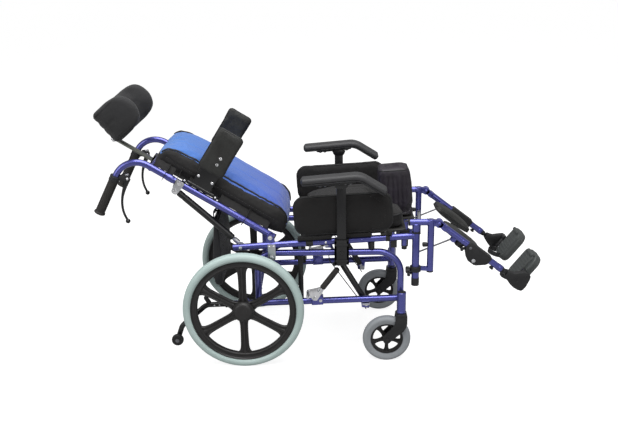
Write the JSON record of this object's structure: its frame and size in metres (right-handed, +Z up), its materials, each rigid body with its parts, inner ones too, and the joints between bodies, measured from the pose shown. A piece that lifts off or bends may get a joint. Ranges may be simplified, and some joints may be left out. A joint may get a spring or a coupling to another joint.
{
  "type": "reclining wheelchair",
  "caption": "Child's reclining wheelchair with tilting seat, folding-down back, headrest, side pads, elevating legrests, castors and solid rear wheels.",
  "frame": {"origin": "on the floor under the middle of the bounding box, on the plane of symmetry", "axes": "+X forwards towards the footplates, +Y to the sitter's left, +Z up"},
  "size_m": [1.473, 0.526, 0.8976],
  "materials": {
    "blue_frame": "glossy violet-blue metallic paint",
    "black_steel": "satin black",
    "bright_steel": "bright zinc and chrome",
    "black_plastic": "moulded black",
    "arm_foam": "soft black moulded pad",
    "rear_tyre": "grey-green solid tyre",
    "castor_wheel": "mid-grey tyre on a black centre",
    "black_cloth": "black woven upholstery",
    "back_cloth": "royal blue knit front with black sides",
    "board": "black board"
  },
  "bodies": {
    "base": {"base_frame_right": "blue_frame", "base_frame_left": "blue_frame", "rear_cross_tube": "blue_frame", "front_cross_tube": "blue_frame", "antitip_tube_right": "black_steel", "antitip_tube_left": "black_steel"},
    "seat": {"seat_rail_right": "blue_frame", "seat_rail_left": "blue_frame", "seat_board": "board", "seat_cushion": "black_cloth", "pommel": "black_cloth", "hip_pad_right": "black_cloth", "hip_pad_left": "black_cloth"},
    "back": {"back_frame": "blue_frame", "back_cushion": "back_cloth", "handle_grip_right": "black_plastic", "handle_grip_left": "black_plastic"},
    "headrest_stem": {"headrest_bar": "bright_steel"},
    "headrest": {"headrest_pad": "black_cloth"},
    "bag": {"storage_bag": "black_cloth"},
    "rear_wheel_right": {"rear_rim_right": "black_plastic", "rear_tyre_right": "rear_tyre"},
    "castor_fork_right": {"castor_fork_right": "black_plastic"},
    "castor_wheel_right": {"castor_wheel_right": "castor_wheel"},
    "antitip_wheel_right": {"antitip_wheel_right": "black_plastic"},
    "parking_brake_right": {"parking_brake_lever_right": "bright_steel"},
    "tilt_spring_body_right": {"tilt_spring_cylinder_right": "black_steel"},
    "tilt_spring_shaft_right": {"tilt_spring_rod_right": "bright_steel"},
    "armrest_right": {"arm_post_right": "black_steel", "arm_pad_right": "arm_foam"},
    "hand_lever_right": {"hand_lever_right": "black_steel"},
    "recline_strut_rod_right": {"recline_strut_rod_right": "bright_steel"},
    "recline_strut_cylinder_right": {"recline_strut_cylinder_right": "black_steel"},
    "lateral_pad_right": {"lateral_pad_right": "black_cloth"},
    "legrest_hanger_right": {"legrest_hanger_right": "blue_frame"},
    "legrest_right": {"leg_tube_right": "blue_frame", "calf_pad_right": "black_cloth"},
    "ratchet_rod_right": {"ratchet_rod_right": "bright_steel"},
    "footrest_right": {"footrest_stem_right": "black_steel"},
    "footplate_right": {"footplate_right": "black_plastic"},
    "rear_wheel_left": {"rear_rim_left": "black_plastic", "rear_tyre_left": "rear_tyre"},
    "castor_fork_left": {"castor_fork_left": "black_plastic"},
    "castor_wheel_left": {"castor_wheel_left": "castor_wheel"},
    "antitip_wheel_left": {"antitip_wheel_left": "black_plastic"},
    "parking_brake_left": {"parking_brake_lever_left": "bright_steel"},
    "tilt_spring_body_left": {"tilt_spring_cylinder_left": "black_steel"},
    "tilt_spring_shaft_left": {"tilt_spring_rod_left": "bright_steel"},
    "armrest_left": {"arm_post_left": "black_steel", "arm_pad_left": "arm_foam"},
    "hand_lever_left": {"hand_lever_left": "black_steel"},
    "recline_strut_rod_left": {"recline_strut_rod_left": "bright_steel"},
    "recline_strut_cylinder_left": {"recline_strut_cylinder_left": "black_steel"},
    "lateral_pad_left": {"lateral_pad_left": "black_cloth"},
    "legrest_hanger_left": {"legrest_hanger_left": "blue_frame"},
    "legrest_left": {"leg_tube_left": "blue_frame", "calf_pad_left": "black_cloth"},
    "ratchet_rod_left": {"ratchet_rod_left": "bright_steel"},
    "footrest_left": {"footrest_stem_left": "black_steel"},
    "footplate_left": {"footplate_left": "black_plastic"}
  },
  "joints": [
    {"name": "seat_tilt", "type": "hinge", "parent": "base", "child": "seat", "pos_m": [-0.15732, 0, 0.371], "axis": [0, -1, 0], "range_deg": [0, 20]},
    {"name": "back_recline", "type": "hinge", "parent": "seat", "child": "back", "pos_m": [-0.16132, 0, 0.4365], "axis": [0, 1, 0], "range_deg": [0, 56]},
    {"name": "rear_wheel_spin_right", "type": "hinge", "parent": "base", "child": "rear_wheel_right", "pos_m": [-0.25432, -0.238, 0.2], "axis": [0, 1, 0], "continuous": true},
    {"name": "castor_swivel_right", "type": "hinge", "parent": "base", "child": "castor_fork_right", "pos_m": [0.26868, -0.207, 0.173], "axis": [0, 0, 1], "continuous": true},
    {"name": "castor_wheel_spin_right", "type": "hinge", "parent": "castor_fork_right", "child": "castor_wheel_right", "pos_m": [0.22068, -0.207, 0.08], "axis": [0, 1, 0], "continuous": true},
    {"name": "antitip_wheel_spin_right", "type": "hinge", "parent": "base", "child": "antitip_wheel_right", "pos_m": [-0.48632, -0.2008, 0.077], "axis": [0, 1, 0], "continuous": true},
    {"name": "parking_brake_right", "type": "hinge", "parent": "base", "child": "parking_brake_right", "pos_m": [-0.01832, -0.182, 0.224], "axis": [0, -1, 0], "range_deg": [0, 28]},
    {"name": "tilt_spring_swing_right", "type": "hinge", "parent": "base", "child": "tilt_spring_body_right", "pos_m": [0.15468, -0.156, 0.19], "axis": [0, 1, 0], "range_deg": [0, 2.27]},
    {"name": "tilt_spring_stroke_right", "type": "slide", "parent": "tilt_spring_body_right", "child": "tilt_spring_shaft_right", "axis": [-0.5026, 0, 0.8645], "range_m": [0, 0.06624]},
    {"name": "armrest_height_right", "type": "slide", "parent": "seat", "child": "armrest_right", "axis": [0, 0, 1], "range_m": [0, 0.05]},
    {"name": "hand_lever_pull_right", "type": "hinge", "parent": "back", "child": "hand_lever_right", "pos_m": [-0.61672, -0.163, 0.63616], "axis": [0, 1, 0], "range_deg": [0, 18], "stiffness_Nm_per_rad": 1.2, "springref_deg": -20.05},
    {"name": "recline_strut_swing_right", "type": "hinge", "parent": "seat", "child": "recline_strut_rod_right", "pos_m": [-0.25932, -0.163, 0.40392], "axis": [0, 1, 0], "range_deg": [0, 56.35]},
    {"name": "recline_strut_stroke_right", "type": "slide", "parent": "recline_strut_rod_right", "child": "recline_strut_cylinder_right", "axis": [-0.7312, 0, 0.6822], "range_m": [0, 0.09796]},
    {"name": "lateral_pad_swing_right", "type": "hinge", "parent": "back", "child": "lateral_pad_right", "pos_m": [-0.3842, -0.163, 0.59876], "axis": [0.848, 0, -0.5299], "range_deg": [0, 80]},
    {"name": "legrest_swing_right", "type": "hinge", "parent": "seat", "child": "legrest_hanger_right", "pos_m": [0.31468, -0.187, 0.452], "axis": [0, 0, -1], "range_deg": [0, 90]},
    {"name": "legrest_elevation_right", "type": "hinge", "parent": "legrest_hanger_right", "child": "legrest_right", "pos_m": [0.38868, -0.187, 0.478], "axis": [0, -1, 0], "range_deg": [-40, 36]},
    {"name": "ratchet_rod_swing_right", "type": "hinge", "parent": "legrest_right", "child": "ratchet_rod_right", "pos_m": [0.43608, -0.166, 0.41685], "axis": [0, -1, 0], "range_deg": [-27.3, 30.3]},
    {"name": "footrest_length_right", "type": "slide", "parent": "legrest_right", "child": "footrest_right", "axis": [0.788, 0, -0.6157], "range_m": [-0.018, 0.06]},
    {"name": "footplate_flip_right", "type": "hinge", "parent": "footrest_right", "child": "footplate_right", "pos_m": [0.65384, -0.16, 0.27083], "axis": [0.6157, 0, 0.788], "range_deg": [0, 90]},
    {"name": "rear_wheel_spin_left", "type": "hinge", "parent": "base", "child": "rear_wheel_left", "pos_m": [-0.25432, 0.238, 0.2], "axis": [0, 1, 0], "continuous": true},
    {"name": "castor_swivel_left", "type": "hinge", "parent": "base", "child": "castor_fork_left", "pos_m": [0.26868, 0.207, 0.173], "axis": [0, 0, 1], "continuous": true},
    {"name": "castor_wheel_spin_left", "type": "hinge", "parent": "castor_fork_left", "child": "castor_wheel_left", "pos_m": [0.22068, 0.207, 0.08], "axis": [0, 1, 0], "continuous": true},
    {"name": "antitip_wheel_spin_left", "type": "hinge", "parent": "base", "child": "antitip_wheel_left", "pos_m": [-0.48632, 0.2008, 0.077], "axis": [0, 1, 0], "continuous": true},
    {"name": "parking_brake_left", "type": "hinge", "parent": "base", "child": "parking_brake_left", "pos_m": [-0.01832, 0.182, 0.224], "axis": [0, -1, 0], "range_deg": [0, 28]},
    {"name": "tilt_spring_swing_left", "type": "hinge", "parent": "base", "child": "tilt_spring_body_left", "pos_m": [0.15468, 0.156, 0.19], "axis": [0, 1, 0], "range_deg": [0, 2.27]},
    {"name": "tilt_spring_stroke_left", "type": "slide", "parent": "tilt_spring_body_left", "child": "tilt_spring_shaft_left", "axis": [-0.5026, 0, 0.8645], "range_m": [0, 0.06624]},
    {"name": "armrest_height_left", "type": "slide", "parent": "seat", "child": "armrest_left", "axis": [0, 0, 1], "range_m": [0, 0.05]},
    {"name": "hand_lever_pull_left", "type": "hinge", "parent": "back", "child": "hand_lever_left", "pos_m": [-0.61672, 0.163, 0.63616], "axis": [0, 1, 0], "range_deg": [0, 18], "stiffness_Nm_per_rad": 1.2, "springref_deg": -20.05},
    {"name": "recline_strut_swing_left", "type": "hinge", "parent": "seat", "child": "recline_strut_rod_left", "pos_m": [-0.25932, 0.163, 0.40392], "axis": [0, 1, 0], "range_deg": [0, 56.35]},
    {"name": "recline_strut_stroke_left", "type": "slide", "parent": "recline_strut_rod_left", "child": "recline_strut_cylinder_left", "axis": [-0.7312, 0, 0.6822], "range_m": [0, 0.09796]},
    {"name": "lateral_pad_swing_left", "type": "hinge", "parent": "back", "child": "lateral_pad_left", "pos_m": [-0.3842, 0.163, 0.59876], "axis": [-0.848, 0, 0.5299], "range_deg": [0, 80]},
    {"name": "legrest_swing_left", "type": "hinge", "parent": "seat", "child": "legrest_hanger_left", "pos_m": [0.31468, 0.187, 0.452], "axis": [0, 0, 1], "range_deg": [0, 90]},
    {"name": "legrest_elevation_left", "type": "hinge", "parent": "legrest_hanger_left", "child": "legrest_left", "pos_m": [0.38868, 0.187, 0.478], "axis": [0, -1, 0], "range_deg": [-40, 36]},
    {"name": "ratchet_rod_swing_left", "type": "hinge", "parent": "legrest_left", "child": "ratchet_rod_left", "pos_m": [0.43608, 0.166, 0.41685], "axis": [0, -1, 0], "range_deg": [-27.3, 30.3]},
    {"name": "footrest_length_left", "type": "slide", "parent": "legrest_left", "child": "footrest_left", "axis": [0.788, 0, -0.6157], "range_m": [-0.018, 0.06]},
    {"name": "footplate_flip_left", "type": "hinge", "parent": "footrest_left", "child": "footplate_left", "pos_m": [0.65384, 0.16, 0.27083], "axis": [-0.6157, 0, -0.788], "range_deg": [0, 90]},
    {"name": "headrest_height", "type": "slide", "parent": "back", "child": "headrest_stem", "axis": [-0.848, 0, 0.5299], "range_m": [-0.045, 0.045]},
    {"name": "headrest_tilt", "type": "hinge", "parent": "headrest_stem", "child": "headrest", "pos_m": [-0.68923, 0, 0.73336], "axis": [0, 1, 0], "range_deg": [-18, 18]},
    {"name": "bag_hang", "type": "hinge", "parent": "back", "child": "bag", "pos_m": [-0.34471, 0, 0.511], "axis": [0, 1, 0], "range_deg": [-56.2, 0.2]}
  ],
  "couplings": [
    {"joint": "tilt_spring_swing_right", "follows": "seat_tilt", "ratio": 0.10326},
    {"joint": "tilt_spring_stroke_right", "follows": "seat_tilt", "m_per_rad": 0.18689},
    {"joint": "recline_strut_swing_right", "follows": "back_recline", "ratio": 1.0028},
    {"joint": "recline_strut_stroke_right", "follows": "back_recline", "m_per_rad": 0.09921},
    {"joint": "ratchet_rod_swing_right", "follows": "legrest_elevation_right", "ratio": -0.75},
    {"joint": "tilt_spring_swing_left", "follows": "seat_tilt", "ratio": 0.10326},
    {"joint": "tilt_spring_stroke_left", "follows": "seat_tilt", "m_per_rad": 0.18689},
    {"joint": "recline_strut_swing_left", "follows": "back_recline", "ratio": 1.0028},
    {"joint": "recline_strut_stroke_left", "follows": "back_recline", "m_per_rad": 0.09921},
    {"joint": "ratchet_rod_swing_left", "follows": "legrest_elevation_left", "ratio": -0.75},
    {"joint": "bag_hang", "follows": "back_recline", "ratio": -1}
  ]
}
